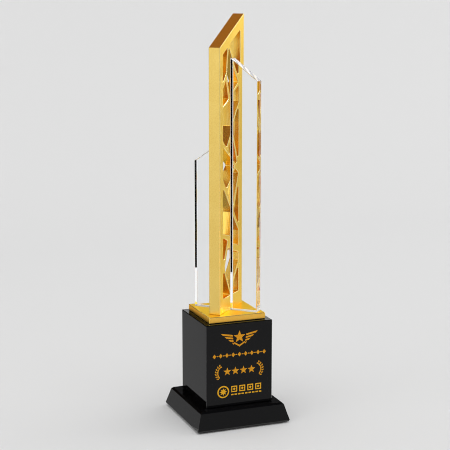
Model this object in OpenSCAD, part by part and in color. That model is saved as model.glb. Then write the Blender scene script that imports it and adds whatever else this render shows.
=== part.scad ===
// Column trophy: a gold slab column with a cut lattice and two clear crystal panels stand on a gold
// plate, a black crystal block and a black crystal plinth with a thin foam rubber pad under it.
// Millimetres. +Z is up, the origin is the centre of the underside and the front faces -Y.
// The column stands on one diagonal of the plate, from front left to rear right.
// The two panels stand on the other diagonal, one each side of the column.

/* [Foot pad] */
// Thickness of the foam rubber pad
pad_t = 1; // [0.5:0.1:3]
// How far the pad stays in from the plinth's underside
pad_margin = 3; // [1:0.5:12]
// Corner radius of the pad
pad_r = 4; // [1:0.5:15]

/* [Plinth] */
// Width of the plinth at its widest line
plinth_w = 80; // [70:1:120]
// Height of the plinth
plinth_h = 15.7; // [10:0.1:40]
// Height of the widest line above the plinth's underside
plinth_rim_h = 1.5; // [0.5:0.1:4]
// How far each side draws in below the widest line
plinth_undercut = 0.8; // [0.2:0.1:2]
// Width of the plinth where its slopes end, under the top bevel
plinth_shoulder_w = 72.4; // [63:0.1:100]
// Width of the bevel around the plinth's top face
plinth_bevel = 1.4; // [0.4:0.1:2]

/* [Block] */
// Width of the block
block_w = 57.4; // [52:0.1:69]
// Height of the block
block_h = 68.7; // [58:0.1:160]
// Bevel along the block's edges
block_bevel = 0.5; // [0.2:0.1:2]

/* [Gold plate] */
// Width of the plate that carries the column and the panels
plate_w = 48.6; // [47:0.1:57]
// Thickness of the plate
plate_t = 5.1; // [4.5:0.1:12]
// Bevel along the plate's upper edges
plate_bevel = 0.4; // [0.2:0.1:1.5]

/* [Column] */
// Width of the column, along the plate's diagonal
col_w = 48; // [38:0.5:54]
// Thickness of the column
col_t = 9.6; // [8:0.1:14]
// Height of the column's front, lower end above the plate
col_low_h = 213.5; // [170:0.5:320]
// How much higher the column's rear end is
col_rise = 25.4; // [5:0.1:50]
// Solid border at each side of the lattice
border_side = 6.5; // [4:0.1:9]
// Solid border under the sloped top
border_top = 8; // [4:0.1:14]
// Solid border at the foot, which takes the screws
border_foot = 12.3; // [11:0.1:30]

/* [Crystal panels] */
// Thickness of both panels
panel_t = 8; // [5:0.1:12]
// Width of the right panel, out from the column
right_panel_w = 23.2; // [12:0.1:25]
// Height of the right panel beside the column
right_inner_h = 204.6; // [60:0.1:320]
// Height of the right panel at its outer edge
right_outer_h = 186.8; // [50:0.1:320]
// Width of the left panel, out from the column
left_panel_w = 21.8; // [12:0.1:25]
// Height of the left panel beside the column
left_inner_h = 136.8; // [60:0.1:320]
// Height of the left panel at its outer edge
left_outer_h = 121.4; // [50:0.1:320]
// Clear gap between a panel and the column's face
panel_gap = 0.2; // [0.1:0.05:1]

/* [Adhesive] */
// Thickness of each film of clear adhesive
bond_t = 0.15; // [0.1:0.01:0.4]
// How far each film stays in from the edge of the joint
bond_margin = 0.3; // [0:0.1:2]

/* [Column screws] */
// Thread diameter of the two countersunk screws
screw_d = 5; // [3:0.1:6]
// Distance between the two screws
screw_pitch = 28; // [16:0.5:34]
// How far the screws run into the column
screw_grip = 8; // [5:0.1:9]
// Diameter of the countersunk head
screw_head_d = 9.2; // [7:0.1:9.6]
// Clearance around the shank and the head in the plate
screw_clear = 0.2; // [0.1:0.05:0.4]
// Width across the flats of the hexagon socket
socket_af = 3; // [2:0.1:4]
// Depth of the hexagon socket
socket_depth = 1.8; // [1:0.1:2.2]

/* [Front decoration] */
// Depth of the cut recesses in the block's front
recess_depth = 0.4; // [0.2:0.1:1]
// How far the gold filling stays below the block's face
fill_below = 0.05; // [0.02:0.01:0.1]
// Height of the emblem above the middle of the block's front
emblem_up = 21.8; // [18:0.1:21.8]
// Height of the lozenge line above the middle of the block's front
lozenge_up = 8.3; // [4:0.1:10]
// Drop of the star row and the laurels below the middle of the block's front
star_row_down = 5.3; // [3:0.1:7]
// Drop of the medallion below the middle of the block's front
medallion_down = 22; // [20:0.1:23]

/* [Hidden] */
$fn = 48;

// Heights of the pieces in the stack, from the surface that the trophy stands on.
plinth_z = pad_t;
plinth_bond_z = plinth_z + plinth_h;
block_z = plinth_bond_z + bond_t;
plate_bond_z = block_z + block_h;
plate_z = plate_bond_z + bond_t;
deck_z = plate_z + plate_t;

// Directions of the diagonals, as turns about the vertical axis.
FRONT_LEFT = 225;
FRONT_RIGHT = 315;
REAR_LEFT = 135;

// A cut runs this far past the face that it opens.
PAST = 1;

// ---- shared shapes ----

// A square of the given width, with each corner cut off at 45 degrees.
module bevelled_square(w, h, bevel) {
    polygon([
        [-w / 2 + bevel, -h / 2], [w / 2 - bevel, -h / 2],
        [w / 2, -h / 2 + bevel], [w / 2, h / 2 - bevel],
        [w / 2 - bevel, h / 2], [-w / 2 + bevel, h / 2],
        [-w / 2, h / 2 - bevel], [-w / 2, -h / 2 + bevel]
    ]);
}

// A square solid whose side profile is the polygon given, met at mitred corners.
module mitred_square(profile, w) {
    intersection() {
        rotate([90, 0, 0]) linear_extrude(w, center = true) polygon(profile);
        rotate([90, 0, 90]) linear_extrude(w, center = true) polygon(profile);
    }
}

// The right half of a profile, mirrored to make the whole outline.
function both_sides(half) =
    concat(half, [for (i = [len(half) - 1:-1:0]) [-half[i][0], half[i][1]]]);

// A square with round corners.
module round_square(w, r) {
    square([w - 2 * r, w], center = true);
    square([w, w - 2 * r], center = true);
    for (x = [-1, 1])
        for (y = [-1, 1])
            translate([x * (w / 2 - r), y * (w / 2 - r)]) circle(r);
}

// A star with the given number of points and inner radius share.
module star(points, r, inner) {
    polygon([
        for (i = [0:2 * points - 1])
            let (a = 90 + 180 * i / points, q = i % 2 == 0 ? r : r * inner)
                [q * cos(a), q * sin(a)]
    ]);
}

// A lozenge of the given width and height.
module lozenge(w, h) {
    polygon([[w / 2, 0], [0, h / 2], [-w / 2, 0], [0, -h / 2]]);
}

// ---- base ----

module foot_pad() {
    pad_w = plinth_w - 2 * plinth_undercut - 2 * pad_margin;
    color([0.1, 0.1, 0.11])
        linear_extrude(pad_t) round_square(pad_w, pad_r);
}

module plinth() {
    half = [
        [plinth_w / 2 - plinth_undercut, 0],
        [plinth_w / 2, plinth_rim_h],
        [plinth_shoulder_w / 2, plinth_h - plinth_bevel],
        [plinth_shoulder_w / 2 - plinth_bevel, plinth_h]
    ];
    color([0.07, 0.07, 0.08])
        translate([0, 0, plinth_z])
            mitred_square(both_sides(half), 2 * plinth_w);
}

// A thin square film of adhesive, a little smaller than the joint that it fills.
module square_film(joint_w, z) {
    w = joint_w - 2 * bond_margin;
    color([0.8, 0.85, 0.9])
        translate([-w / 2, -w / 2, z]) cube([w, w, bond_t]);
}

module plinth_bond() {
    square_film(block_w - 2 * block_bevel, plinth_bond_z);
}

module plate_bond() {
    square_film(plate_w, plate_bond_z);
}

module block() {
    color([0.09, 0.09, 0.1])
        difference() {
            translate([0, 0, block_z + block_h / 2]) block_body();
            on_front(-recess_depth, PAST) front_marks();
        }
}

// The block's body: three prisms that cross, so that every edge carries the bevel.
module block_body() {
    intersection() {
        linear_extrude(block_h, center = true)
            bevelled_square(block_w, block_w, block_bevel);
        rotate([90, 0, 0]) linear_extrude(block_w, center = true)
            bevelled_square(block_w, block_h, block_bevel);
        rotate([90, 0, 90]) linear_extrude(block_w, center = true)
            bevelled_square(block_w, block_h, block_bevel);
    }
}

// ---- front decoration ----

// Stands a flat shape on the middle of the block's front. Depths run outward from the face.
module on_front(from, to) {
    translate([0, -block_w / 2 - from, block_z + block_h / 2])
        rotate([90, 0, 0])
            linear_extrude(to - from) children();
}

module front_fill() {
    color([0.93, 0.62, 0.12])
        on_front(-recess_depth, -fill_below) children();
}

module front_marks() {
    emblem_shape();
    lozenge_line_shape();
    star_row_shape();
    laurel_shape(1);
    laurel_shape(-1);
    medallion_shape();
    tile_row_shape();
    dash_line_shape();
}

// Emblem: a star over a chevron, with four rising bars on each side of it.
EMBLEM_STAR_R = 5.4;
EMBLEM_BARS = 4;
EMBLEM_BAR_T = 1.7;
EMBLEM_BAR_STEP = 2.3;
EMBLEM_SPAN = 16;
STAR_INNER = 0.42;

module emblem_shape() {
    translate([0, emblem_up]) {
        translate([0, 1]) star(5, EMBLEM_STAR_R, STAR_INNER);
        polygon([[-4.6, -4.2], [0, -7.2], [4.6, -4.2], [4.6, -2.9], [0, -5.6], [-4.6, -2.9]]);
        for (side = [-1, 1])
            for (i = [0:EMBLEM_BARS - 1])
                let (
                    inner = 5.8 - 0.35 * i,
                    outer = EMBLEM_SPAN - 3.1 * i,
                    low = 1.6 - EMBLEM_BAR_STEP * i,
                    rise = 0.16 * (outer - inner)
                )
                    polygon([
                        [side * inner, low],
                        [side * (outer - 1.6), low + rise],
                        [side * outer, low + rise + EMBLEM_BAR_T],
                        [side * inner, low + EMBLEM_BAR_T - 0.2]
                    ]);
    }
}

// A line of lozenges with a short bar between each pair.
LOZENGE_N = 9;
LOZENGE_STEP = 5.4;
LOZENGE_W = 3.2;
LOZENGE_H = 3.9;
LINE_BAR_T = 0.8;
LINE_BAR_W = 1.5;

module lozenge_line_shape() {
    translate([0, lozenge_up]) {
        for (i = [0:LOZENGE_N - 1])
            translate([(i - (LOZENGE_N - 1) / 2) * LOZENGE_STEP, 0])
                lozenge(LOZENGE_W, LOZENGE_H);
        for (i = [0:LOZENGE_N - 2])
            translate([(i - (LOZENGE_N - 2) / 2) * LOZENGE_STEP, 0])
                square([LINE_BAR_W, LINE_BAR_T], center = true);
    }
}

// A row of stars between the laurels.
STAR_N = 4;
STAR_STEP = 7;
STAR_R = 3.6;

module star_row_shape() {
    for (i = [0:STAR_N - 1])
        translate([(i - (STAR_N - 1) / 2) * STAR_STEP, -star_row_down])
            star(5, STAR_R, STAR_INNER);
}

// A laurel sprig: pairs of leaves along an arc that opens towards the stars.
LAUREL_R = 6.4;
LAUREL_X = 13.2;
LAUREL_LEAVES = 7;
LAUREL_SWEEP = 100;
LEAF_L = 2.3;
LEAF_W = 1.25;
LEAF_TURN = 38;
LAUREL_DROP = 0.6;

module leaf() {
    polygon([
        [0, 0], [0.35 * LEAF_L, LEAF_W / 2], [0.7 * LEAF_L, 0.4 * LEAF_W],
        [LEAF_L, 0], [0.7 * LEAF_L, -0.4 * LEAF_W], [0.35 * LEAF_L, -LEAF_W / 2]
    ]);
}

module laurel_shape(side) {
    for (i = [0:LAUREL_LEAVES - 1])
        let (a = -LAUREL_SWEEP / 2 + LAUREL_SWEEP * i / (LAUREL_LEAVES - 1))
            translate([
                side * (LAUREL_X + LAUREL_R * cos(a)),
                LAUREL_R * sin(a) - star_row_down - LAUREL_DROP
            ])
                for (turn = [-LEAF_TURN, LEAF_TURN])
                    rotate(side > 0 ? a + 90 + turn : 90 - a + turn)
                        translate([0.25, 0]) leaf();
}

// A medallion: a plain ring with a small eight-pointed sun in it.
MEDALLION_X = -14;
MEDALLION_R = 5.1;
MEDALLION_RING = 1.1;
SUN_R = 3.3;

module medallion_shape() {
    translate([MEDALLION_X, -medallion_down]) {
        difference() {
            circle(MEDALLION_R);
            circle(MEDALLION_R - MEDALLION_RING);
        }
        star(8, SUN_R, 0.5);
    }
}

// Four square tiles, each a frame with a lozenge in it.
TILE_N = 4;
TILE_W = 5.2;
TILE_STEP = 7;
TILE_X = 6;
TILE_RISE = 1.6;
TILE_FRAME = 0.9;

module tile_row_shape() {
    for (i = [0:TILE_N - 1])
        translate([TILE_X + (i - (TILE_N - 1) / 2) * TILE_STEP, TILE_RISE - medallion_down]) {
            difference() {
                square(TILE_W, center = true);
                square(TILE_W - 2 * TILE_FRAME, center = true);
            }
            lozenge(2.4, 2.4);
        }
}

// A line of short dashes under the tiles.
DASH_N = 9;
DASH_W = 2.2;
DASH_T = 1.1;
DASH_STEP = 3.05;
DASH_DROP = 3;

module dash_line_shape() {
    for (i = [0:DASH_N - 1])
        translate([TILE_X + (i - (DASH_N - 1) / 2) * DASH_STEP, -medallion_down - DASH_DROP])
            square([DASH_W, DASH_T], center = true);
}

module emblem_fill() {
    front_fill() emblem_shape();
}

module lozenge_line_fill() {
    front_fill() lozenge_line_shape();
}

module star_row_fill() {
    front_fill() star_row_shape();
}

module laurel_left_fill() {
    front_fill() laurel_shape(-1);
}

module laurel_right_fill() {
    front_fill() laurel_shape(1);
}

module medallion_fill() {
    front_fill() medallion_shape();
}

module tile_row_fill() {
    front_fill() tile_row_shape();
}

module dash_line_fill() {
    front_fill() dash_line_shape();
}

// ---- gold plate, column and screws ----

// Puts its children at each of the two screws, which stand along the column.
module at_screws() {
    rotate(FRONT_LEFT)
        for (side = [-1, 1])
            translate([side * screw_pitch / 2, 0, plate_z]) children();
}

// A countersunk screw or its seat, larger all round by the clearance given.
module countersunk(clear, length) {
    head_r = screw_head_d / 2 + clear;
    shank_r = screw_d / 2 + clear;
    cylinder(h = head_r - shank_r, r1 = head_r, r2 = shank_r);
    cylinder(h = length, r = shank_r);
}

module mount_plate() {
    half = [
        [plate_w / 2, 0],
        [plate_w / 2, plate_t - plate_bevel],
        [plate_w / 2 - plate_bevel, plate_t]
    ];
    color([0.86, 0.67, 0.27])
        difference() {
            translate([0, 0, plate_z]) mitred_square(both_sides(half), 2 * plate_w);
            at_screws() {
                countersunk(screw_clear, plate_t + PAST);
                translate([0, 0, -PAST])
                    cylinder(h = PAST, r = screw_head_d / 2 + screw_clear);
            }
        }
}

module column_screws() {
    color([0.55, 0.56, 0.58])
        at_screws()
            difference() {
                countersunk(0, plate_t + screw_grip);
                translate([0, 0, -PAST])
                    cylinder(h = PAST + socket_depth, d = socket_af / cos(30), $fn = 6);
            }
}

// Height of the column's outer top above the plate, at x along the column.
function col_top(x) = col_low_h + col_rise * (col_w / 2 - x) / col_w;

// Size of the lattice. Its top follows the sloped top, a border below it.
web_w = col_w - 2 * border_side;
web_drop = border_top * norm([col_w, col_rise]) / col_w;
function web_top(x) = col_top(x) - web_drop;
web_h = web_top(web_w / 2) - border_foot;

// The lattice is drawn on a grid of 35 across and 194 up, from the foot border.
// Across runs from -17.5 at the rear to 17.5 at the front.
GRID_W = 35;
GRID_H = 194;
// In place of a height, this puts a corner on the lattice's sloped top.
TOP = -1;
WINDOWS = [
    [[17.5, TOP], [8.5, TOP], [11.5, 180], [16.5, 174], [17.5, 174]],
    [[4.5, TOP], [-16.5, TOP], [-16.5, 178.5], [-14, 177.5]],
    [[6.2, 198.8], [-15.4, 171], [3.5, 160], [10, 177.6]],
    [[11.5, 174], [7, 159], [17, 154.3], [17.5, 154.5], [17.5, 167]],
    [[17.5, 152], [3, 157.6], [-1.2, 137], [9.9, 122.2], [12.2, 122.2], [17.5, 127]],
    [[1, 159.2], [-17, 168.3], [-17, 155.5], [-4.2, 140]],
    [[-14.1, 149.3], [-17, 149.3], [-17, 112], [-14.4, 111.3], [-3.2, 136]],
    [[8.5, 118.8], [-2.8, 133], [-13.2, 107.5], [-10.5, 106]],
    [[17.5, 122], [-8.6, 104.2], [9.9, 89.3], [11.9, 89.3], [17.5, 96.5]],
    [[8.5, 86.5], [-9.9, 102], [-16.4, 98], [-3.8, 69], [8.5, 82.5]],
    [[17.5, 88.3], [15.9, 87.5], [-0.1, 67.6], [4, 49.2], [17.5, 53]],
    [[-14.6, 86.5], [-17, 86.5], [-17, 58], [-15, 57.5], [-7.2, 68.5]],
    [[-3.4, 66.5], [-17, 50.5], [-17, 38.2], [2, 43.8]],
    [[17.5, 49], [14.9, 48.4], [8.7, 45.6], [15.2, 32], [17.5, 32]],
    [[7.9, 39.8], [-17, 32.2], [-17, 25.8], [2.4, 3.2], [13.4, 22.4], [14.2, 24.8]],
    [[17.5, 20.5], [15, 20.5], [3.2, 0], [17.5, 0]],
    [[-14.2, 19], [-17, 19], [-17, 0], [0.4, 0]]
];

// A corner of the grid, in millimetres along the column and above the plate.
function web_point(p) =
    let (x = p[0] * web_w / GRID_W)
        [x, p[1] == TOP ? web_top(x) : border_foot + p[1] * web_h / GRID_H];

module column() {
    color([0.9, 0.75, 0.36])
        difference() {
            translate([0, 0, deck_z])
                rotate([90, 0, FRONT_LEFT])
                    linear_extrude(col_t, center = true)
                        difference() {
                            polygon([
                                [-col_w / 2, 0], [col_w / 2, 0],
                                [col_w / 2, col_top(col_w / 2)], [-col_w / 2, col_top(-col_w / 2)]
                            ]);
                            for (w = WINDOWS)
                                polygon([for (p = w) web_point(p)]);
                        }
            at_screws() cylinder(h = plate_t + screw_grip, d = screw_d);
        }
}

// ---- crystal panels ----

panel_start = col_t / 2 + panel_gap;

// A panel: an upright slab whose top slopes down as it goes out from the column.
module panel(turn, w, inner_h, outer_h) {
    color([0.85, 0.93, 0.97, 0.45])
        translate([0, 0, deck_z + bond_t])
            rotate([90, 0, turn])
                linear_extrude(panel_t, center = true)
                    polygon([
                        [panel_start, 0], [panel_start + w, 0],
                        [panel_start + w, outer_h], [panel_start, inner_h]
                    ]);
}

// The film of adhesive under a panel's foot.
module panel_film(turn, w) {
    color([0.8, 0.85, 0.9])
        translate([0, 0, deck_z])
            rotate(turn)
                translate([panel_start + bond_margin, -panel_t / 2 + bond_margin, 0])
                    cube([w - 2 * bond_margin, panel_t - 2 * bond_margin, bond_t]);
}

module right_panel() {
    panel(FRONT_RIGHT, right_panel_w, right_inner_h, right_outer_h);
}

module left_panel() {
    panel(REAR_LEFT, left_panel_w, left_inner_h, left_outer_h);
}

module right_panel_bond() {
    panel_film(FRONT_RIGHT, right_panel_w);
}

module left_panel_bond() {
    panel_film(REAR_LEFT, left_panel_w);
}

foot_pad();
plinth();
plinth_bond();
block();
plate_bond();
mount_plate();
column();
column_screws();
right_panel();
left_panel();
right_panel_bond();
left_panel_bond();
emblem_fill();
lozenge_line_fill();
star_row_fill();
laurel_left_fill();
laurel_right_fill();
medallion_fill();
tile_row_fill();
dash_line_fill();
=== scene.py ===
"""Looks of the column trophy: a gold lattice slab and two clear panels on a black crystal base.

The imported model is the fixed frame. Each piece built here takes its outline and its place from the
frame's own node, adds rounded edges and a finish, and stands for that node. Lengths are in metres.
"""

import logging
import math
from collections.abc import Sequence
from dataclasses import dataclass, field
from enum import Enum
from typing import Any

import bpy
import numpy as np
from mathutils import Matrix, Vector
from mathutils.geometry import delaunay_2d_cdt


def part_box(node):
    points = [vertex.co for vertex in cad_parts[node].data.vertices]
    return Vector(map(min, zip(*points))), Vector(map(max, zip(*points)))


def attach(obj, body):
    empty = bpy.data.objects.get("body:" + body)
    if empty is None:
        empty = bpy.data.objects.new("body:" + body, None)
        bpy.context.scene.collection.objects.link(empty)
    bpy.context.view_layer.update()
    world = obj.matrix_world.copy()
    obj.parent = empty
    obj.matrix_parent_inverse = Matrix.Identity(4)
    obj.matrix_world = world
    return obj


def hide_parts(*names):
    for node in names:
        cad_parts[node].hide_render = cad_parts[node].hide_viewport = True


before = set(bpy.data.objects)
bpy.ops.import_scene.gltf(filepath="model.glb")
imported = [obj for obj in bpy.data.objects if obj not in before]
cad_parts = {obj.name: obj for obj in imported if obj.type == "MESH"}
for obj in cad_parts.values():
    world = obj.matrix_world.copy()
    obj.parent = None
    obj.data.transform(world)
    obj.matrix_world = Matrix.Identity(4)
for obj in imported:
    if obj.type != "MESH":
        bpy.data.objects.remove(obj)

MM = 0.001
HAIR = 0.001 * MM
NEAR = 0.01 * MM
BODY = "root"
LOG = logging.getLogger("column_trophy")

Array = np.ndarray
Colour = tuple[float, float, float]


# ---- shader maths ----


class Value:
    """A shader value that can be used in Python sums, as each sum adds its Math node."""

    def __init__(self, bench: "Bench", socket: bpy.types.NodeSocket) -> None:
        """Wraps a socket.

        Args:
            bench: The material that the socket belongs to.
            socket: The output socket that gives the value.
        """
        self.bench = bench
        self.socket = socket

    def _math(self, operation: str, first: Any, second: Any) -> "Value":
        """Adds one Math node.

        Args:
            operation: The node's operation.
            first: A Value or a number.
            second: A Value or a number.

        Returns:
            The node's result.
        """
        return self.bench.value("ShaderNodeMath", {"operation": operation}, {0: first, 1: second})

    def __add__(self, other: Any) -> "Value":
        """Adds another value."""
        return self._math("ADD", self, other)

    def __radd__(self, other: Any) -> "Value":
        """Adds to another value."""
        return self._math("ADD", other, self)

    def __sub__(self, other: Any) -> "Value":
        """Takes another value away."""
        return self._math("SUBTRACT", self, other)

    def __rsub__(self, other: Any) -> "Value":
        """Takes this value from another."""
        return self._math("SUBTRACT", other, self)

    def __mul__(self, other: Any) -> "Value":
        """Multiplies by another value."""
        return self._math("MULTIPLY", self, other)

    def __rmul__(self, other: Any) -> "Value":
        """Multiplies another value."""
        return self._math("MULTIPLY", other, self)

    def smooth(self, low: float, high: float) -> "Value":
        """Rises smoothly from 0 at low to 1 at high.

        Args:
            low: The value that gives 0.
            high: The value that gives 1.

        Returns:
            The smoothed share.
        """
        settings = {"interpolation_type": "SMOOTHSTEP"}
        return self.bench.value(
            "ShaderNodeMapRange", settings, {"Value": self, "From Min": low, "From Max": high}
        )


class Bench:
    """The node tree of one material or world, and the one way of adding nodes to it."""

    def __init__(self, owner: bpy.types.Material | bpy.types.World) -> None:
        """Empties the owner's node tree.

        Args:
            owner: The material or the world whose nodes are laid out.
        """
        owner.use_nodes = True
        self.tree = owner.node_tree
        self.tree.nodes.clear()

    def add(self, kind: str, settings: dict[str, Any], sockets: dict[Any, Any]) -> bpy.types.Node:
        """Adds a node, then its settings, then its sockets' values or links.

        Args:
            kind: The node's type name.
            settings: Attributes such as a Math node's operation.
            sockets: What goes in each input, by name or number: a Value, a socket or a constant.

        Returns:
            The new node.
        """
        node = self.tree.nodes.new(kind)
        for name, setting in settings.items():
            setattr(node, name, setting)
        for name, given in sockets.items():
            source = given.socket if isinstance(given, Value) else given
            if isinstance(source, bpy.types.NodeSocket):
                self.tree.links.new(source, node.inputs[name])
            else:
                node.inputs[name].default_value = source
        return node

    def value(self, kind: str, settings: dict[str, Any], sockets: dict[Any, Any]) -> Value:
        """Adds a node and wraps its first output that is in use."""
        node = self.add(kind, settings, sockets)
        return Value(self, next(s for s in node.outputs if s.enabled))

    def place(self) -> bpy.types.NodeSocket:
        """Gives the piece's own Object coordinates, in metres."""
        return self.add("ShaderNodeTexCoord", {}, {}).outputs["Object"]

    def noise(self, grain: float, detail: float = 2.0, stretch: Vector | None = None) -> Value:
        """Adds a noise whose grains have a given size.

        Args:
            grain: Size of a grain, in metres.
            detail: How many finer octaves are added.
            stretch: How much closer the grains lie along each axis.

        Returns:
            The noise, from 0 to 1 and about 0.5 on average.
        """
        where = self.place()
        if stretch is not None:
            sockets = {"Vector": where, "Scale": stretch}
            where = self.add("ShaderNodeMapping", {}, sockets).outputs[0]
        return self.value(
            "ShaderNodeTexNoise", {}, {"Vector": where, "Scale": 1 / grain, "Detail": detail}
        )

    def layers(self, depth: float) -> Value:
        """Gives a noise that changes only across the column, from one broad face to the other.

        Args:
            depth: Size of one layer, in metres.

        Returns:
            The noise, sharpened, from 0 to 1.
        """
        turned = {
            "Vector": self.place(),
            "Rotation": (0.0, 0.0, math.radians(-45)),
            "Scale": (1.0, 50.0, 50.0),
        }
        where = self.add("ShaderNodeMapping", {"vector_type": "TEXTURE"}, turned).outputs[0]
        sockets = {"Vector": where, "Scale": 1 / depth, "Detail": 2.0}
        return self.value("ShaderNodeTexNoise", {}, sockets).smooth(0.35, 0.65)

    def attribute(self, name: str) -> Value:
        """Reads one of a piece's point maps."""
        node = self.add("ShaderNodeAttribute", {"attribute_name": name}, {})
        return Value(self, node.outputs["Fac"])

    def mix(self, share: Value, first: Any, second: Any) -> bpy.types.NodeSocket:
        """Mixes two colours.

        Args:
            share: How much of the second is in the result.
            first: A colour or a colour socket.
            second: A colour or a colour socket.

        Returns:
            The colour socket of the result.
        """
        settings = {"data_type": "RGBA", "blend_type": "MIX", "clamp_factor": True}
        colours = [(*c, 1.0) if isinstance(c, tuple) else c for c in (first, second)]
        node = self.add("ShaderNodeMix", settings, {0: share, 6: colours[0], 7: colours[1]})
        return node.outputs[2]

    def bump(self, height: Value, depth: float) -> bpy.types.NodeSocket:
        """Turns a height into a normal.

        Args:
            height: The height, from 0 to 1.
            depth: How deep a height of 1 is, in metres.

        Returns:
            The normal socket.
        """
        sockets = {"Height": height, "Distance": depth}
        return self.add("ShaderNodeBump", {}, sockets).outputs[0]

    def surface(self, sockets: dict[str, Any]) -> None:
        """Ends a material with one Principled shader."""
        shader = self.add("ShaderNodeBsdfPrincipled", {}, sockets)
        self.add("ShaderNodeOutputMaterial", {}, {"Surface": shader.outputs[0]})


# ---- finishes ----


@dataclass(frozen=True)
class Finish:
    """A material of the trophy. Each kind of finish lays out its own nodes."""

    name: str
    slot: str

    def material(self) -> bpy.types.Material:
        """Makes the material.

        Returns:
            The material, with its nodes laid out.
        """
        material = bpy.data.materials.new(self.name)
        self.dress(Bench(material))
        return material

    def dress(self, bench: Bench) -> None:
        """Lays out the nodes."""
        raise NotImplementedError


@dataclass(frozen=True)
class Gold(Finish):
    """Gold over a finely blasted casting: rubbed edges with a painted highlight, painted shade in
    openings.
    """

    colour: Colour = (0.95, 0.70, 0.20)
    dull: Colour = (0.84, 0.57, 0.12)
    painted_wall_shade: Colour = (0.95, 0.52, 0.025)
    rubbed_and_highlight: Colour = (1.0, 0.86, 0.42)
    grazing: Colour = (1.0, 0.70, 0.22)
    rough: float = 0.36
    blast: float = 1.0 * MM
    blast_depth: float = 0.10 * MM
    layer: float = 1.1 * MM

    def dress(self, bench: Bench) -> None:
        """Grain: a fine noise. Tone: a broad one. Layers: one that changes only across the slab.

        The wear map smooths the edges and brightens their colour, partly for rubbing and partly as a
        painted highlight. The cut map paints shade on the openings' walls as a deeper tone, and
        brings up the layers that the mould's halves left there.

        Args:
            bench: The material's nodes.
        """
        tone = bench.noise(14 * MM, 3).smooth(0.3, 0.7)
        grain = bench.noise(self.blast, 3)
        layers = bench.layers(self.layer)
        wear_and_highlight = bench.attribute("wear_and_highlight")
        cut = bench.attribute("cut")
        speckle = grain.smooth(0.42, 0.62) * (0.4 - 0.35 * cut)
        plain = bench.mix(tone * 0.25 + speckle, self.colour, self.dull)
        # Painted shade: the openings' walls take a deeper orange, more of it where the mould's
        # layers run.
        shaded_walls = bench.mix(cut * (0.15 + 0.45 * layers), plain, self.painted_wall_shade)
        uneven = 0.16 * (grain - 0.5) * (1 - 0.8 * cut)
        height = grain * (1 - 0.85 * cut) + cut * layers * 0.3
        bench.surface(
            {
                # Painted highlight: the rubbed colour brightens the edges, both for wear and for the
                # glints on them.
                "Base Color": bench.mix(wear_and_highlight * 0.85, shaded_walls, self.rubbed_and_highlight),
                "Metallic": 1.0,
                "Specular Tint": (*self.grazing, 1.0),
                "Roughness": self.rough + uneven - 0.14 * wear_and_highlight - 0.10 * cut,
                "Normal": bench.bump(height, self.blast_depth),
            }
        )


@dataclass(frozen=True)
class BlackCrystal(Finish):
    """Black crystal glass, polished, with the faint haze that handling leaves."""

    colour: Colour = (0.002, 0.002, 0.0025)
    index: float = 1.53

    def dress(self, bench: Bench) -> None:
        """Haze: a broad smear and a fine dust, both in roughness. Ripple: a very low bump.

        Args:
            bench: The material's nodes.
        """
        smear = bench.noise(16 * MM, 4, Vector((1, 1, 0.4))).smooth(0.45, 0.8)
        dust = bench.noise(0.5 * MM, 1).smooth(0.72, 0.86)
        ripple = bench.noise(22 * MM, 1)
        bench.surface(
            {
                "Base Color": bench.mix(dust * 0.5, self.colour, (0.02, 0.02, 0.022)),
                "Roughness": 0.015 + 0.035 * smear + 0.06 * dust,
                "IOR": self.index,
                "Normal": bench.bump(ripple, 0.004 * MM),
            }
        )


@dataclass(frozen=True)
class ClearCrystal(Finish):
    """Clear optical crystal, polished all over."""

    tint: Colour = (0.985, 0.995, 1.0)
    index: float = 1.5

    def dress(self, bench: Bench) -> None:
        """Haze: a faint smear in roughness. Ripple: a very low bump, as a polisher leaves.

        Args:
            bench: The material's nodes.
        """
        smear = bench.noise(18 * MM, 3, Vector((1, 1, 0.3))).smooth(0.5, 0.9)
        ripple = bench.noise(25 * MM, 1)
        bench.surface(
            {
                "Base Color": (*self.tint, 1.0),
                "Roughness": 0.02 * smear,
                "IOR": self.index,
                "Specular Tint": (0.15, 0.15, 0.15, 1.0),
                "Transmission Weight": 1.0,
                "Normal": bench.bump(ripple, 0.003 * MM),
            }
        )


@dataclass(frozen=True)
class GoldFill(Finish):
    """Gold colour filled into frosted recesses: uneven, with bright metallic flecks."""

    colour: Colour = (0.72, 0.29, 0.006)
    bright: Colour = (1.0, 0.58, 0.05)

    def dress(self, bench: Bench) -> None:
        """Flecks: a fine noise between two golds. Unevenness: a coarser noise in roughness.

        Args:
            bench: The material's nodes.
        """
        fleck = bench.noise(0.5 * MM, 2).smooth(0.4, 0.72)
        pool = bench.noise(2.4 * MM, 2)
        bench.surface(
            {
                "Base Color": bench.mix(fleck * 0.7, self.colour, self.bright),
                "Metallic": 0.3,
                "Specular IOR Level": 0.25,
                "Roughness": 0.38 + 0.2 * (pool - 0.5),
                "Normal": bench.bump(fleck * 0.5 + pool * 0.5, 0.06 * MM),
            }
        )


@dataclass(frozen=True)
class FoamRubber(Finish):
    """Closed-cell foam rubber, matt and nearly black."""

    colour: Colour = (0.022, 0.022, 0.024)

    def dress(self, bench: Bench) -> None:
        """Cells: a fine noise in bump and in colour.

        Args:
            bench: The material's nodes.
        """
        cells = bench.noise(0.35 * MM, 2)
        bench.surface(
            {
                "Base Color": bench.mix(cells, self.colour, (0.05, 0.05, 0.052)),
                "Roughness": 0.82 + 0.1 * (cells - 0.5),
                "Normal": bench.bump(cells, 0.1 * MM),
            }
        )


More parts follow.
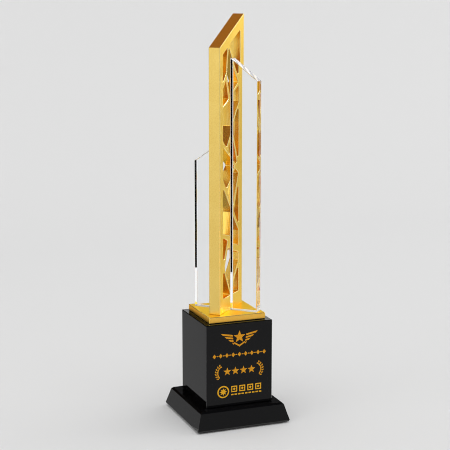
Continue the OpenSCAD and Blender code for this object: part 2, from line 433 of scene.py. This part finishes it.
@dataclass(frozen=True)
class Adhesive(Finish):
    """A hardened film of clear adhesive with a few fine bubbles."""

    def dress(self, bench: Bench) -> None:
        """Bubbles: a fine thresholded noise in roughness and bump.

        Args:
            bench: The material's nodes.
        """
        bubble = bench.noise(0.8 * MM, 1).smooth(0.68, 0.78)
        bench.surface(
            {
                "Base Color": (0.93, 0.95, 0.96, 1.0),
                "Roughness": 0.06 + 0.2 * bubble,
                "IOR": 1.49,
                "Transmission Weight": 1.0,
                "Normal": bench.bump(bubble, 0.03 * MM),
            }
        )


@dataclass(frozen=True)
class ClearFilm(Finish):
    """A hardened film under a crystal's foot, made pale by the fine bubbles that fill it."""

    colour: Colour = (0.92, 0.88, 0.78)

    def dress(self, bench: Bench) -> None:
        """Bubbles: a fine noise in tone and bump.

        Args:
            bench: The material's nodes.
        """
        bubble = bench.noise(0.5 * MM, 2).smooth(0.4, 0.7)
        bench.surface(
            {
                "Base Color": bench.mix(bubble * 0.5, self.colour, (0.98, 0.97, 0.94)),
                "Roughness": 0.35 + 0.2 * bubble,
                "IOR": 1.49,
                "Transmission Weight": 0.35,
                "Normal": bench.bump(bubble, 0.03 * MM),
            }
        )


@dataclass(frozen=True)
class WettedFace(Finish):
    """The face of a crystal that adhesive wets: their indices match, so light goes through."""

    def dress(self, bench: Bench) -> None:
        """A clear surface that neither bends nor reflects, with a faint smear in its tone.

        Args:
            bench: The material's nodes.
        """
        smear = bench.noise(4 * MM, 2)
        bench.surface(
            {
                "Base Color": bench.mix(smear * 0.3, (1.0, 1.0, 1.0), (0.96, 0.96, 0.95)),
                "Roughness": 0.0,
                "IOR": 1.0,
                "Transmission Weight": 1.0,
            }
        )


@dataclass(frozen=True)
class TurnedSteel(Finish):
    """Zinc-plated steel of the hidden screws, with turning marks round it."""

    def dress(self, bench: Bench) -> None:
        """Marks: a noise drawn out across the screw's height, in roughness and bump.

        Args:
            bench: The material's nodes.
        """
        marks = bench.noise(0.5 * MM, 3, Vector((0.2, 0.2, 3)))
        bench.surface(
            {
                "Base Color": bench.mix(marks, (0.5, 0.51, 0.53), (0.62, 0.62, 0.62)),
                "Metallic": 1.0,
                "Roughness": 0.28 + 0.15 * (marks - 0.5),
                "Normal": bench.bump(marks, 0.02 * MM),
            }
        )


# ---- outlines and meshes ----


def fillet(outline: Array, radius: float, steps: int) -> Array:
    """Rounds every corner of a closed outline with an arc that touches both its sides.

    The arc's centre lies on the corner's bisector, radius / sin(half angle) away from the corner,
    and its points turn evenly from one touching point to the other. A radius too large for its
    sides is made smaller.

    Args:
        outline: Corners in order, n by 2.
        radius: The arcs' radius.
        steps: Points on each arc.

    Returns:
        The rounded outline, n * steps by 2.
    """
    back = np.roll(outline, 1, axis=0) - outline
    ahead = np.roll(outline, -1, axis=0) - outline
    back_len = np.linalg.norm(back, axis=1, keepdims=True)
    ahead_len = np.linalg.norm(ahead, axis=1, keepdims=True)
    back, ahead = back / back_len, ahead / ahead_len
    half = 0.5 * np.arccos(np.clip((back * ahead).sum(1, keepdims=True), -1, 1))
    longest = 0.45 * np.minimum(back_len, ahead_len)
    reach = np.minimum(radius / np.tan(half), longest)
    bisector = back + ahead
    bisector = bisector / np.linalg.norm(bisector, axis=1, keepdims=True)
    centre = outline + bisector * reach / np.cos(half)
    start, end = outline + back * reach - centre, outline + ahead * reach - centre
    turn = np.pi - 2 * half
    share = np.linspace(0, 1, steps)[None, :, None]
    turn3 = turn[:, None, :]
    arc = np.sin((1 - share) * turn3) * start[:, None] + np.sin(share * turn3) * end[:, None]
    return (centre[:, None] + arc / np.sin(turn3)).reshape(-1, 2)


def grow(outline: Array, distance: float) -> Array:
    """Moves a closed anticlockwise outline outward by a distance, or inward if it is negative.

    Each point moves along the mean of its two sides' outward normals, lengthened so that both sides
    move by the whole distance.

    Args:
        outline: Points in order, n by 2.
        distance: How far the sides move.

    Returns:
        The moved outline.
    """
    ahead = np.roll(outline, -1, axis=0) - outline
    ahead = ahead / np.linalg.norm(ahead, axis=1, keepdims=True)
    normal = np.stack([ahead[:, 1], -ahead[:, 0]], 1)
    before = np.roll(normal, 1, axis=0)
    share = 1 + (normal * before).sum(1, keepdims=True)
    return outline + distance * (normal + before) / share


def inside(points: Array, outline: Array) -> Array:
    """Tells which points lie in a closed outline.

    A ray to the right from a point inside crosses the outline's sides an odd number of times.

    Args:
        points: The points, n by 2.
        outline: The outline's points in order, m by 2.

    Returns:
        One truth value for each point.
    """
    a, b = outline, np.roll(outline, -1, axis=0)
    x, y = points[:, :1], points[:, 1:]
    spans = (a[:, 1] > y) != (b[:, 1] > y)
    rise = np.where(b[:, 1] == a[:, 1], 1.0, b[:, 1] - a[:, 1])
    crossing = (b[:, 0] - a[:, 0]) * (y - a[:, 1]) / rise + a[:, 0]
    return (spans & (x < crossing)).sum(1) % 2 == 1


def ring_faces(rings: int, count: int, flip: bool) -> Array:
    """Numbers the four-sided faces of a grid whose rows are closed rings.

    Args:
        rings: How many rings there are.
        count: Points in each ring.
        flip: Turns the faces over.

    Returns:
        The faces, (rings - 1) * count by 4.
    """
    row, column = np.meshgrid(np.arange(rings - 1) * count, np.arange(count), indexing="ij")
    after = (column + 1) % count
    corners = [row + column, row + after, row + count + after, row + count + column]
    faces = np.stack(corners, -1).reshape(-1, 4)
    return faces[:, ::-1] if flip else faces


@dataclass
class Shell:
    """The points, the faces and the two point maps of a mesh while it is put together.

    One map says how rubbed a point is, which gold also shows as a painted highlight, and the map
    "cut" how far inside an opening it is, where gold paints shade.
    """

    points: list[Array] = field(default_factory=list)
    faces: list[list[int]] = field(default_factory=list)
    wear_and_highlight: list[Array] = field(default_factory=list)
    cut: list[Array] = field(default_factory=list)

    def add(
        self,
        points: Array,
        faces: Sequence[Sequence[int]],
        wear_and_highlight: Array | float = 0.0,
        cut: Array | float = 0.0,
    ) -> None:
        """Adds a patch.

        Args:
            points: The patch's points, n by 3.
            faces: The patch's faces, numbered from its own first point.
            wear_and_highlight: How worn each point is, which gold also shows as a painted highlight,
            from 0 to 1.
            cut: How far inside an opening each point is, from 0 to 1.
        """
        start = sum(len(p) for p in self.points)
        self.points.append(points)
        self.faces.extend([[start + int(i) for i in face] for face in faces])
        self.wear_and_highlight.append(np.broadcast_to(np.asarray(wear_and_highlight, float), (len(points),)))
        self.cut.append(np.broadcast_to(np.asarray(cut, float), (len(points),)))

    def piece(
        self, name: str, material: bpy.types.Material, smooth: bool = True
    ) -> bpy.types.Object:
        """Makes the object and joins the points that meet.

        Args:
            name: The piece's name.
            material: Its material.
            smooth: True shades across the roundings, by the size of the faces that meet.

        Returns:
            The new object, at the origin.
        """
        mesh = bpy.data.meshes.new(name)
        mesh.from_pydata(np.concatenate(self.points), [], self.faces)
        for key, parts in (("wear_and_highlight", self.wear_and_highlight), ("cut", self.cut)):
            attribute = mesh.attributes.new(key, "FLOAT", "POINT")
            attribute.data.foreach_set("value", np.concatenate(parts).astype(np.float32))
        mesh.materials.append(material)
        piece = bpy.data.objects.new(name, mesh)
        bpy.context.scene.collection.objects.link(piece)
        piece.modifiers.new("weld", "WELD").merge_threshold = HAIR
        if smooth:
            mesh.shade_smooth()
            piece.modifiers.new("shade", "WEIGHTED_NORMAL").weight = 100
        return piece


def node_points(node: str) -> Array:
    """Reads the points of a frame node's mesh.

    Args:
        node: The frame node.

    Returns:
        The points, n by 3.
    """
    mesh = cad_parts[node].data
    co = np.empty(len(mesh.vertices) * 3, np.float32)
    mesh.vertices.foreach_get("co", co)
    return co.reshape(-1, 3)


@dataclass
class NodeOutline:
    """The flat outline of an upright slab node, read from the frame.

    The slab stands on the vertical plane that holds `along` and the z axis, centred on that plane.
    """

    node: str
    along: Array
    thickness: float

    def loops(self) -> list[Array]:
        """Finds the closed outlines of the slab's front face.

        Triangles whose corners all lie on the face are kept. A side that only one of them has is on
        the outline, and such sides are followed end to end.

        Returns:
            Loops of (along, z) points, each anticlockwise, the longest first.
        """
        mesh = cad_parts[self.node].data
        co = node_points(self.node).astype(float)
        mesh.calc_loop_triangles()
        tri = np.empty(len(mesh.loop_triangles) * 3, np.int32)
        mesh.loop_triangles.foreach_get("vertices", tri)
        across = np.array([self.along[1], -self.along[0], 0.0])
        keys = np.round(co / HAIR).astype(int)
        unique, number = np.unique(keys, axis=0, return_inverse=True)
        place = np.zeros((len(unique), 3))
        place[number.ravel()] = co
        tri = number.ravel()[tri.reshape(-1, 3)]
        on_face = np.abs(place @ across - self.thickness / 2) < NEAR
        tri = tri[on_face[tri].all(1)]
        sides = np.concatenate([tri[:, [0, 1]], tri[:, [1, 2]], tri[:, [2, 0]]])
        present = set(map(tuple, sides.tolist()))
        follow = {a: b for a, b in present if (b, a) not in present}
        flat = np.stack([place @ np.append(self.along[:2], 0), place[:, 2]], 1)
        found = []
        while follow:
            start, at = next(iter(follow.items()))
            del follow[start]
            chain = [start]
            while at != start:
                chain.append(at)
                at = follow.pop(at)
            found.append(self._tidy(flat[chain]))
        return sorted(found, key=len_of_outline, reverse=True)

    @staticmethod
    def _tidy(loop: Array) -> Array:
        """Drops points on straight stretches and turns the loop anticlockwise.

        Args:
            loop: The points, n by 2.

        Returns:
            The corners only.
        """
        back, ahead = loop - np.roll(loop, 1, axis=0), np.roll(loop, -1, axis=0) - loop
        bend = np.abs(back[:, 0] * ahead[:, 1] - back[:, 1] * ahead[:, 0])
        least_turn = 1e-3
        lengths = np.linalg.norm(back, axis=1) * np.linalg.norm(ahead, axis=1)
        corners = loop[bend > least_turn * lengths]
        after = np.roll(corners, -1, axis=0)
        area = (corners[:, 0] * after[:, 1] - corners[:, 1] * after[:, 0]).sum()
        return corners if area > 0 else corners[::-1]


def len_of_outline(outline: Array) -> float:
    """Gives the length of a closed outline."""
    return float(np.linalg.norm(np.roll(outline, -1, axis=0) - outline, axis=1).sum())


@dataclass
class Slab:
    """An upright slab with any number of openings, rounded along every edge.

    Attributes:
        outline: The frame node that gives the outlines.
        edge: Radius of the rounding between the faces and the walls.
        corner: Radius of the outer outline's corners.
        window_corner: Radius of the openings' corners.
        wear_and_highlight_band: Width of the band beside each edge that is worn and painted with a
        highlight.
        edge_steps: Points across each rounding.
        arc_steps: Points on each rounded corner.
        smooth: True shades the roundings as one surface.
        rubbed_and_highlight: How worn the face is right beside an edge, and so how bright a painted
        highlight gold gives it there, from 0 to 1.
    """

    outline: NodeOutline
    edge: float
    corner: float
    window_corner: float
    wear_and_highlight_band: float
    edge_steps: int = 4
    arc_steps: int = 5
    smooth: bool = True
    rubbed_and_highlight: float = 0.85

    def _solid(self, flat: Array, depth: Array | float) -> Array:
        """Stands flat points up: along, z and a distance in front of the middle plane.

        Args:
            flat: Points as (along, z), n by 2.
            depth: Distance in front of the slab's middle plane.

        Returns:
            Points in space, n by 3.
        """
        along = self.outline.along
        across = np.array([along[1], -along[0], 0.0])
        up = np.array([0.0, 0.0, 1.0])
        depth = np.broadcast_to(depth, (len(flat),))
        return flat[:, :1] * along + flat[:, 1:] * up + depth[:, None] * across

    def _wall(self, shell: Shell, loop: Array, side: float) -> None:
        """Carries the edge profile along one loop.

        The profile is a quarter circle from the front face into the wall, the straight wall, and
        the same quarter circle back out. Its offset from the loop is side * edge *
        (1 - sin(turn)), and its depth below the face is edge * (1 - cos(turn)).

        Args:
            shell: What the wall is added to.
            loop: The loop at the wall's middle, anticlockwise.
            side: 1 for an opening and -1 for the outer outline.
        """
        turn = np.linspace(0, np.pi / 2, self.edge_steps)
        offset = side * self.edge * (1 - np.sin(turn))
        depth = self.outline.thickness / 2 - self.edge * (1 - np.cos(turn))
        offsets = np.concatenate([offset, offset[::-1]])
        depths = np.concatenate([depth, -depth[::-1]])
        rings = [self._solid(grow(loop, o), d) for o, d in zip(offsets, depths)]
        # Worn most at the face; gold also shows this as a painted highlight along the edge.
        rim = np.cos(turn) ** 0.5
        wear_and_highlight = np.concatenate([rim, rim[::-1]])
        # How far inside an opening a point is; gold paints shade there.
        inner = (1 - wear_and_highlight) * (side > 0)
        shell.add(
            np.concatenate(rings),
            ring_faces(len(rings), len(loop), flip=side < 0),
            np.repeat(wear_and_highlight, len(loop)),
            np.repeat(inner, len(loop)),
        )

    def _faces(self, shell: Shell, outer: Array, windows: list[Array]) -> None:
        """Fills both flat faces, with a narrow worn, painted-highlight band inside every edge.

        Args:
            shell: What the faces are added to.
            outer: The outer loop at the wall.
            windows: The openings' loops at the wall.
        """
        edges = [grow(outer, -self.edge)] + [grow(w, self.edge) for w in windows]
        bands = [grow(edges[0], -self.wear_and_highlight_band)] + [grow(e, self.wear_and_highlight_band) for e in edges[1:]]
        half = self.outline.thickness / 2
        for number, (edge, band) in enumerate(zip(edges, bands)):
            # The band is worn; gold also shows it as a painted highlight.
            wear_and_highlight = np.repeat([self.rubbed_and_highlight, 0.0], len(edge))
            for front in (True, False):
                depth = half if front else -half
                points = np.concatenate([self._solid(edge, depth), self._solid(band, depth)])
                shell.add(points, ring_faces(2, len(edge), flip=(number > 0) == front), wear_and_highlight)
        flat, triangles = self._fill(bands)
        shell.add(self._solid(flat, half), triangles)
        shell.add(self._solid(flat, -half), triangles[:, ::-1])

    @staticmethod
    def _fill(loops: list[Array]) -> tuple[Array, Array]:
        """Triangulates the area in the first loop and outside the others.

        Args:
            loops: The outer loop and then the openings.

        Returns:
            The points and the triangles, facing the viewer.
        """
        starts = np.cumsum([0] + [len(loop) for loop in loops])
        sides = [
            (int(start + i), int(start + (i + 1) % len(loop)))
            for start, loop in zip(starts, loops)
            for i in range(len(loop))
        ]
        points = [Vector(p) for p in np.concatenate(loops).tolist()]
        nearest = 1e-9
        made = delaunay_2d_cdt(points, sides, [], 0, nearest)
        flat = np.array([tuple(p) for p in made[0]])
        triangles = np.array(made[2])
        centres = flat[triangles].mean(1)
        keep = inside(centres, loops[0])
        for loop in loops[1:]:
            keep &= ~inside(centres, loop)
        return flat, triangles[keep]

    def piece(self, name: str, material: bpy.types.Material) -> bpy.types.Object:
        """Builds the slab.

        Args:
            name: The piece's name.
            material: Its material.

        Returns:
            The new object.
        """
        outer, *windows = self.outline.loops()
        outer = fillet(outer, self.corner, self.arc_steps)
        windows = [fillet(w, self.window_corner, self.arc_steps) for w in windows]
        shell = Shell()
        self._wall(shell, outer, -1.0)
        for window in windows:
            self._wall(shell, window, 1.0)
        self._faces(shell, outer, windows)
        return shell.piece(name, material, self.smooth)


@dataclass
class SquareStack:
    """A solid made by carrying a side profile round a square with rounded corners.

    Attributes:
        profile: (half width, height) points of the side, from the underside to the top face.
        corner: Radius of the upright corners.
        edge: Radius of the rounding along every edge of the profile.
        arc_steps: Points on each arc.
    """

    profile: Array
    corner: float
    edge: float
    arc_steps: int = 6

    def piece(self, name: str, material: bpy.types.Material) -> bpy.types.Object:
        """Builds the solid: one ring for each profile point, and a flat face at each end.

        A ring is a square of the point's half width whose corners are arcs about centres that lie
        one corner radius in from both sides.

        Args:
            name: The piece's name.
            material: Its material.

        Returns:
            The new object.
        """
        axis = np.array([[0.0, self.profile[-1, 1]], [0.0, self.profile[0, 1]]])
        closed = fillet(np.concatenate([self.profile, axis]), self.edge, self.arc_steps)
        side = closed[: len(self.profile) * self.arc_steps]
        quarter = np.repeat(np.arange(4) * np.pi / 2, self.arc_steps)
        turn = np.tile(np.linspace(0, np.pi / 2, self.arc_steps), 4) + quarter
        middle = quarter + np.pi / 4
        sign = np.stack([np.sign(np.cos(middle)), np.sign(np.sin(middle))], 1)
        arc = np.stack([np.cos(turn), np.sin(turn)], 1) * self.corner
        flat = sign[None] * (side[:, None, :1] - self.corner) + arc[None]
        height = np.broadcast_to(side[:, None, 1:], (len(side), len(turn), 1))
        points = np.concatenate([flat, height], -1).reshape(-1, 3)
        count = len(turn)
        shell = Shell()
        # The roundings are worn, which gold also shows as a painted highlight.
        wear_and_highlight = np.tile(np.sin(np.linspace(0, np.pi, self.arc_steps)), len(self.profile))
        shell.add(points, ring_faces(len(side), count, flip=False), np.repeat(wear_and_highlight, count))
        first = np.arange(count)
        shell.add(points[first], [first[::-1]])
        shell.add(points[-count:], [first])
        return shell.piece(name, material)


def half_profile(node: str) -> Array:
    """Reads the side profile of a square, mitred node: half width at each height that it has.

    Heights whose points all lie well inside belong to hollows, and are left out.

    Args:
        node: The frame node.

    Returns:
        (half width, height) points from the underside to the top.
    """
    least = 0.8
    co = node_points(node).astype(float)
    heights = np.unique(np.round(co[:, 2] / NEAR).astype(int)) * NEAR
    near = np.abs(co[:, None, 2] - heights[None]) < 2 * NEAR
    widths = np.where(near, np.abs(co[:, :1]), 0).max(0)
    side = widths > least * widths.max()
    return np.stack([widths[side], heights[side]], 1)


def stand_for(piece: bpy.types.Object, node: str) -> None:
    """Puts a piece in the place of a frame node.

    Args:
        piece: The piece.
        node: The node that it stands for.
    """
    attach(piece, BODY)
    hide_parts(node)
    LOG.info("%s: %d faces, stands for %s", piece.name, len(piece.data.polygons), node)


def dress_node(node: str, material: bpy.types.Material) -> None:
    """Gives a frame node, whose shape is right as it is, a better material.

    Args:
        node: The node.
        material: The material for all its slots.
    """
    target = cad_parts[node]
    for slot in target.material_slots:
        slot.material = material
    LOG.info("%s: keeps its own shape, dressed in %s", node, material.name)


# ---- sub-assemblies ----


@dataclass
class Base:
    """The black base: foot pad, plinth, block, the films between them and the gold decoration."""

    arris: float = 0.12 * MM
    pad_corner: float = 4 * MM
    pad_edge: float = 0.2 * MM
    crystal: Finish = BlackCrystal("polished_black_crystal", "black_crystal")
    block_crystal: Finish = BlackCrystal("polished_black_crystal_block", "black_crystal_block")
    foam: Finish = FoamRubber("foam_rubber", "foam_rubber")
    film: Finish = Adhesive("joint_film", "adhesive")
    fill: Finish = GoldFill("gold_fill", "gold_fill")
    bright_fill: Finish = GoldFill("bright_gold_fill", "gold_fill", (0.98, 0.50, 0.015))
    upper_fills: tuple[str, ...] = (
        "emblem_fill",
        "lozenge_line_fill",
        "star_row_fill",
        "laurel_left_fill",
        "laurel_right_fill",
    )
    lower_fills: tuple[str, ...] = ("medallion_fill", "tile_row_fill", "dash_line_fill")

    def build(self) -> None:
        """Builds and dresses every piece of the base."""
        plinth = SquareStack(half_profile("plinth"), self.arris, self.arris, arc_steps=3)
        piece = plinth.piece("plinth_polished", self.crystal.material())
        stand_for(piece, "plinth")
        low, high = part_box("foot_pad")
        side = np.array([[high.x, low.z], [high.x, high.z]])
        pad = SquareStack(side, self.pad_corner, self.pad_edge)
        stand_for(pad.piece("foot_pad_foam", self.foam.material()), "foot_pad")
        dress_node("block", self.block_crystal.material())
        film = self.film.material()
        for node in ("plinth_bond", "plate_bond"):
            dress_node(node, film)
        for finish, nodes in ((self.fill, self.upper_fills), (self.bright_fill, self.lower_fills)):
            gold = finish.material()
            for node in nodes:
                dress_node(node, gold)


@dataclass
class Column:
    """The gold work: the plate, the lattice column and the two screws that join them.

    The column stands along one diagonal of the base, and the panels along the other.
    """

    along: Array = field(default_factory=lambda: np.array([-1.0, -1.0, 0.0]) / math.sqrt(2))
    edge: float = 0.45 * MM
    corner: float = 0.6 * MM
    window_corner: float = 0.8 * MM
    wear_and_highlight_band: float = 0.3 * MM
    cast: Finish = Gold("blasted_gold", "gold_column")
    plate: Finish = Gold(
        "satin_gold",
        "gold_plate",
        colour=(1.0, 0.76, 0.18),
        dull=(0.97, 0.68, 0.13),
        rough=0.34,
        blast_depth=0.03 * MM,
    )
    steel: Finish = TurnedSteel("turned_steel", "screw_steel")

    def build(self) -> None:
        """Builds and dresses every piece of the gold work."""
        plate = SquareStack(half_profile("mount_plate"), self.corner, self.edge)
        piece = plate.piece("mount_plate_gold", self.plate.material())
        stand_for(piece, "mount_plate")
        outline = NodeOutline("column", self.along, thickness_across("column", self.along))
        slab = Slab(outline, self.edge, self.corner, self.window_corner, self.wear_and_highlight_band)
        stand_for(slab.piece("column_cast", self.cast.material()), "column")
        dress_node("column_screws", self.steel.material())


def thickness_across(node: str, along: Array) -> float:
    """Measures an upright slab node across its own plane.

    Args:
        node: The frame node.
        along: The level direction that the slab runs in.

    Returns:
        Its thickness.
    """
    across = node_points(node) @ np.array([along[1], -along[0], 0.0])
    return float(across.max() - across.min())


@dataclass
class Panels:
    """The two clear crystal panels and the films of adhesive under their feet."""

    bevel: float = 0.3 * MM
    wear_and_highlight_band: float = 0.2 * MM
    crystal: Finish = ClearCrystal("clear_crystal", "clear_crystal")
    film: Finish = ClearFilm("clear_adhesive", "clear_adhesive")
    wetted: Finish = WettedFace("wetted_crystal", "clear_crystal")
    runs: tuple[tuple[str, float], ...] = (("right_panel", 1.0), ("left_panel", -1.0))

    def build(self) -> None:
        """Builds and dresses both panels.

        The bevels are flat, as a polisher cuts them. Clear crystal lets light through, so neither
        the panels nor their films cast a shadow.
        """
        crystal, film, wetted = (f.material() for f in (self.crystal, self.film, self.wetted))
        for node, side in self.runs:
            along = side * np.array([1.0, -1.0, 0.0]) / math.sqrt(2)
            outline = NodeOutline(node, along, thickness_across(node, along))
            slab = Slab(
                outline,
                edge=self.bevel,
                corner=self.bevel / 2,
                window_corner=0.0,
                wear_and_highlight_band=self.wear_and_highlight_band,
                edge_steps=2,
                arc_steps=2,
                smooth=False,
            )
            piece = slab.piece(node + "_polished", crystal)
            piece.visible_shadow = False
            self._wet_foot(piece, wetted)
            stand_for(piece, node)
            dress_node(node + "_bond", film)
            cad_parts[node + "_bond"].visible_shadow = False

    @staticmethod
    def _wet_foot(piece: bpy.types.Object, wetted: bpy.types.Material) -> None:
        """Gives the panel's underside the material of a wetted face.

        Args:
            piece: The panel.
            wetted: The material.
        """
        mesh = piece.data
        mesh.materials.append(wetted)
        normal = np.empty(len(mesh.polygons) * 3, np.float32)
        mesh.polygons.foreach_get("normal", normal)
        straight_down = -0.9
        down = (normal.reshape(-1, 3)[:, 2] < straight_down).astype(np.int32)
        mesh.polygons.foreach_set("material_index", down)


# ---- studio ----


@dataclass(frozen=True)
class Placed:
    """A rectangle in the studio that faces a point."""

    name: str
    place: tuple[float, float, float]
    size: tuple[float, float]
    aim: tuple[float, float, float] = (0.0, 0.0, 0.16)

    def put(self, made: bpy.types.Object) -> None:
        """Moves an object to the rectangle's place and turns it to face the point.

        Args:
            made: The light or the card.
        """
        made.location = self.place
        back = Vector(self.place) - Vector(self.aim)
        made.rotation_euler = back.to_track_quat("Z", "Y").to_euler()


@dataclass(frozen=True)
class SoftLight(Placed):
    """A large soft light."""

    power: float = 5.0

    def build(self) -> None:
        """Hangs the light."""
        data = bpy.data.lights.new(self.name, "AREA")
        data.shape = "RECTANGLE"
        data.size, data.size_y = self.size
        data.energy = self.power
        light = bpy.data.objects.new(self.name, data)
        bpy.context.scene.collection.objects.link(light)
        self.put(light)


class Seen(Enum):
    """Where a card shows."""

    IN_REFLECTIONS = "in reflections"
    THROUGH_CRYSTAL = "through crystal"
    IN_BOTH = "in both"


@dataclass(frozen=True)
class Card(Placed):
    """A card that the camera doesn't see directly."""

    colour: Colour = (0.0, 0.0, 0.0)
    seen: Seen = Seen.IN_REFLECTIONS

    def build(self) -> None:
        """Stands the card."""
        x, y = self.size[0] / 2, self.size[1] / 2
        corners = np.array([(-x, -y, 0), (x, -y, 0), (x, y, 0), (-x, y, 0)])
        material = bpy.data.materials.new(self.name)
        Bench(material).surface(
            {
                "Base Color": (0.0, 0.0, 0.0, 1.0),
                "Specular IOR Level": 0.0,
                "Emission Color": (*self.colour, 1.0),
                "Emission Strength": 1.0,
            }
        )
        card = add_stage(self.name, corners, [(0, 1, 2, 3)], material)
        card.visible_camera = False
        card.visible_diffuse = False
        card.visible_shadow = False
        card.visible_glossy = self.seen is not Seen.THROUGH_CRYSTAL
        card.visible_transmission = self.seen is not Seen.IN_REFLECTIONS
        self.put(card)


def add_stage(
    name: str, points: Array, faces: Sequence[Sequence[int]], material: bpy.types.Material
) -> bpy.types.Object:
    """Adds an object that is not part of the trophy.

    Args:
        name: The object's name.
        points: Its points, n by 3.
        faces: Its faces.
        material: Its material.

    Returns:
        The new object.
    """
    mesh = bpy.data.meshes.new(name)
    mesh.from_pydata(points, [], faces)
    mesh.materials.append(material)
    made = bpy.data.objects.new(name, mesh)
    bpy.context.scene.collection.objects.link(made)
    return made


@dataclass
class Studio:
    """The floor and backdrop, the lights, the cards and the camera.

    The cards are the dark and light things that the crystal and the gold mirror, or that show
    through the crystal.
    """

    azimuth: float = math.radians(-21.34)
    elevation: float = math.radians(10.89)
    lens: float = 102.02
    distance: float = 1.0353
    aim: tuple[float, float] = (-0.00123, 0.16035)
    sensor: float = 36.0
    reach: float = 12.0
    sweep_start: float = 0.7
    sweep_radius: float = 0.8
    sweep_steps: int = 24
    paper_top: float = 4.0
    filter_width: float = 1.0
    bounces: int = 32
    inner_bounces: int = 24
    paper: Colour = (0.79, 0.79, 0.79)
    sky: Colour = (0.69, 0.69, 0.69)
    lights: tuple[SoftLight, ...] = (
        SoftLight("left_softbox", (-2.8, -1.3, 1.5), (3.2, 2.4), power=18.0),
        SoftLight("right_softbox", (2.9, 0.2, 1.7), (2.6, 2.6), power=18.0),
        SoftLight("top_softbox", (0.1, -0.8, 3.2), (2.2, 2.2), power=18.0),
    )
    cards: tuple[Card, ...] = (
        Card(
            "dark_edge",
            (0.494, 0.197, 0.14),
            (0.036, 0.28),
            (0, 0, 0.14),
            seen=Seen.THROUGH_CRYSTAL,
        ),
        Card(
            "white_floor",
            (0.27, 0.11, 0.002),
            (0.42, 0.26),
            (0.27, 0.11, 1),
            (0.96,) * 3,
            Seen.IN_BOTH,
        ),
        Card("dim_front", (0.13, -0.36, 0.18), (0.34, 0.24), (0, 0, 0.1), (0.23,) * 3),
        Card("dim_floor", (0.10, -0.19, 0.002), (0.42, 0.25), (0.10, -0.19, 1), (0.27,) * 3),
        Card("pale_floor", (0.20, -0.62, 0.002), (1.2, 0.60), (0.20, -0.62, 1), (1.5, 1.0, 0.55)),
        Card("warm_rear", (-0.30, 0.57, 0.002), (0.5, 0.34), (-0.30, 0.57, 1), (1.4, 0.50, 0.07)),
        Card("dark_rear", (0.045, 0.10, 0.05), (0.17, 0.07), (0.045, 0, 0.05), (0.05,) * 3),
        Card(
            "dark_left_rear",
            (-0.28, 0.6, 0.3),
            (0.5, 0.36),
            (-0.02, 0, 0.1),
            (0.015, 0.01, 0.006),
        ),
        Card("dim_rear", (-0.20, 0.16, 0.002), (0.36, 0.36), (-0.20, 0.16, 1), (0.28,) * 3),
        Card("brown_top", (0.05, 0.75, 1.2), (1.9, 1.5), (0.05, 0.75, 0), (0.30, 0.12, 0.03)),
        Card("dark_top", (0.0, -0.5, 1.2), (1.9, 1.0), (0, -0.5, 0), (0.03,) * 3),
        Card("rear_window", (0.83, 0.70, 0.80), (0.6, 0.5), colour=(3.2, 3.2, 3.3)),
        Card(
            "low_window",
            (0.80, 0.10, 0.40),
            (0.20, 0.16),
            (0, 0, 0.12),
            (11, 14, 26),
            Seen.THROUGH_CRYSTAL,
        ),
        Card("foot_window", (0.74, 0.29, 0.38), (0.24, 0.25), (0, 0, 0.12), (1.7, 1.8, 2.2)),
        Card("dark_end", (0.296, 0.097, 0.175), (0.022, 0.21), (0, 0, 0.175)),
    )

    def camera(self) -> None:
        """Places the camera and makes it the scene's."""
        level = math.cos(self.elevation)
        back = Vector(
            (
                math.sin(self.azimuth) * level,
                -math.cos(self.azimuth) * level,
                math.sin(self.elevation),
            )
        )
        right = Vector((math.cos(self.azimuth), math.sin(self.azimuth), 0))
        data = bpy.data.cameras.new("camera")
        data.lens = self.lens
        data.sensor_width = self.sensor
        camera = bpy.data.objects.new("camera", data)
        camera.location = right * self.aim[0] + Vector((0, 0, self.aim[1])) + back * self.distance
        camera.rotation_euler = back.to_track_quat("Z", "Y").to_euler()
        bpy.context.scene.collection.objects.link(camera)
        bpy.context.scene.camera = camera

    def backdrop(self) -> None:
        """Lays the pale paper: a floor that sweeps up behind the trophy in a quarter circle."""
        turn = np.linspace(0, np.pi / 2, self.sweep_steps)
        start, radius = self.sweep_start, self.sweep_radius
        depth = np.concatenate([[-self.reach], start + radius * np.sin(turn), [start + radius]])
        height = np.concatenate([[0.0], radius * (1 - np.cos(turn)), [self.paper_top]])
        line = np.stack([np.zeros_like(depth), depth, height], 1)
        points = np.concatenate([line - (self.reach, 0, 0), line + (self.reach, 0, 0)])
        count = len(line)
        faces = [(i, i + count, i + count + 1, i + 1) for i in range(count - 1)]
        material = bpy.data.materials.new("pale_paper")
        Bench(material).surface({"Base Color": (*self.paper, 1.0), "Specular IOR Level": 0.0})
        add_stage("backdrop", points, faces, material).data.shade_smooth()

    def world(self) -> None:
        """Makes the even light round the studio."""
        world = bpy.data.worlds.new("studio")
        bench = Bench(world)
        light = bench.add("ShaderNodeBackground", {}, {"Color": (*self.sky, 1.0), "Strength": 1.0})
        bench.add("ShaderNodeOutputWorld", {}, {"Surface": light.outputs[0]})
        bpy.context.scene.world = world

    def build(self) -> None:
        """Sets up the whole studio."""
        self.camera()
        self.backdrop()
        self.world()
        for part in (*self.lights, *self.cards):
            part.build()
        scene = bpy.context.scene
        scene.view_settings.view_transform = "Standard"
        scene.view_settings.look = "None"
        scene.cycles.filter_width = self.filter_width
        scene.cycles.max_bounces = self.bounces
        scene.cycles.glossy_bounces = self.inner_bounces
        scene.cycles.transmission_bounces = self.inner_bounces


def main() -> None:
    """Builds the trophy piece by piece, and the studio round it."""
    logging.basicConfig(level=logging.INFO, format="%(name)s: %(message)s")
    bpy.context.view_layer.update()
    Studio().build()
    Base().build()
    Column().build()
    Panels().build()


if __name__ == "__main__":
    main()
